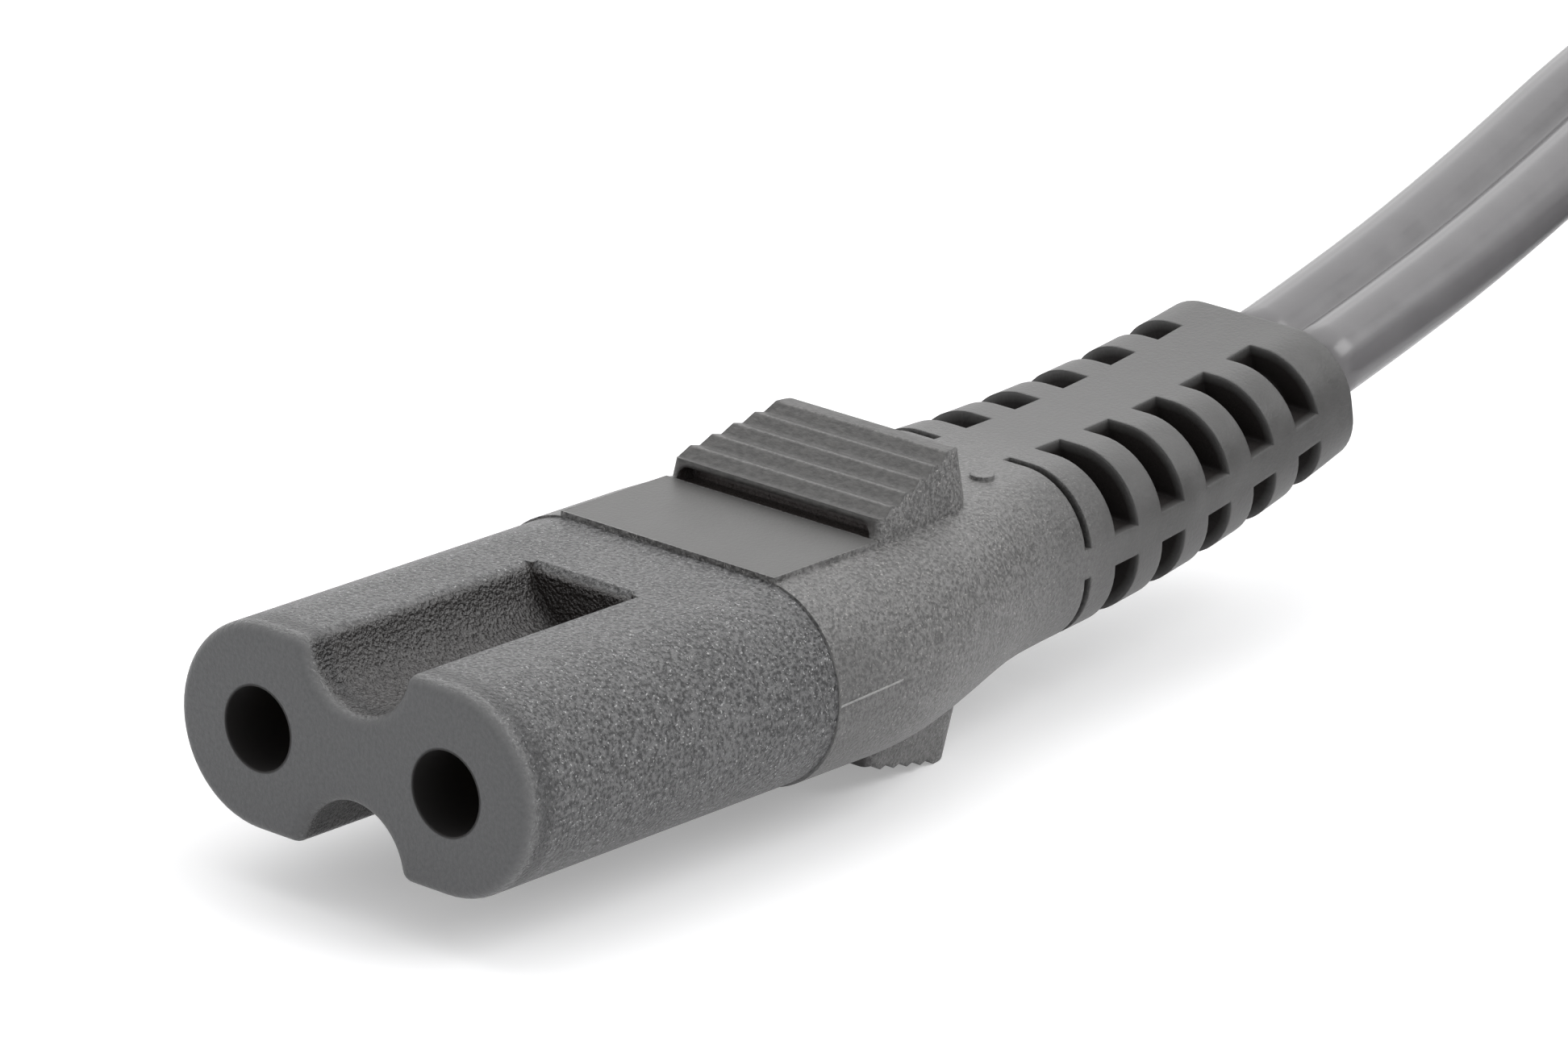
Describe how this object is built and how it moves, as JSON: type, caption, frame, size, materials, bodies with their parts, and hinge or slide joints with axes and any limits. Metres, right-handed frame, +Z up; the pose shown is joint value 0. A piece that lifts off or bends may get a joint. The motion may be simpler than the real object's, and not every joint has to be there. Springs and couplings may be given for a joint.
{
  "type": "iec power connector",
  "caption": "Moulded figure-8 appliance connector with ribbed thumb blocks and a slotted strain relief, on a flat cord with a flat mains plug.",
  "frame": {"origin": "middle of the mating face, between the two pin holes", "axes": "+X out of the mating face, +Y across the two pin holes, +Z up, the side the neck bends to"},
  "size_m": [0.1519, 0.0818, 0.0285],
  "materials": {
    "nose_plastic": "fine spark-eroded grain",
    "grip_plastic": "satin, grained at the nose end",
    "contact_metal": "bright strip",
    "copper": "bare stranded copper",
    "core_insulation": "smooth",
    "cord_jacket": "smooth, glossy",
    "plug_plastic": "fine grain",
    "bridge_plastic": "smooth",
    "pin_metal": "nickel plated",
    "sleeve_plastic": "smooth"
  },
  "bodies": {
    "root": {"nose_insert": "nose_plastic", "grip_overmould": "grip_plastic", "contact_left": "contact_metal", "contact_right": "contact_metal", "conductor_left": "copper", "conductor_right": "copper", "core_left": "core_insulation", "core_right": "core_insulation", "cord_in_relief": "cord_jacket", "cord_lead": "cord_jacket", "cord_coil": "cord_jacket", "cord_tail": "cord_jacket", "cord_in_plug": "cord_jacket", "plug_body": "plug_plastic", "plug_bridge": "bridge_plastic", "plug_pin_left": "pin_metal", "plug_pin_right": "pin_metal", "plug_sleeve_left": "sleeve_plastic", "plug_sleeve_right": "sleeve_plastic", "plug_conductor_left": "copper", "plug_conductor_right": "copper", "plug_core_left": "core_insulation", "plug_core_right": "core_insulation"}
  },
  "joints": []
}
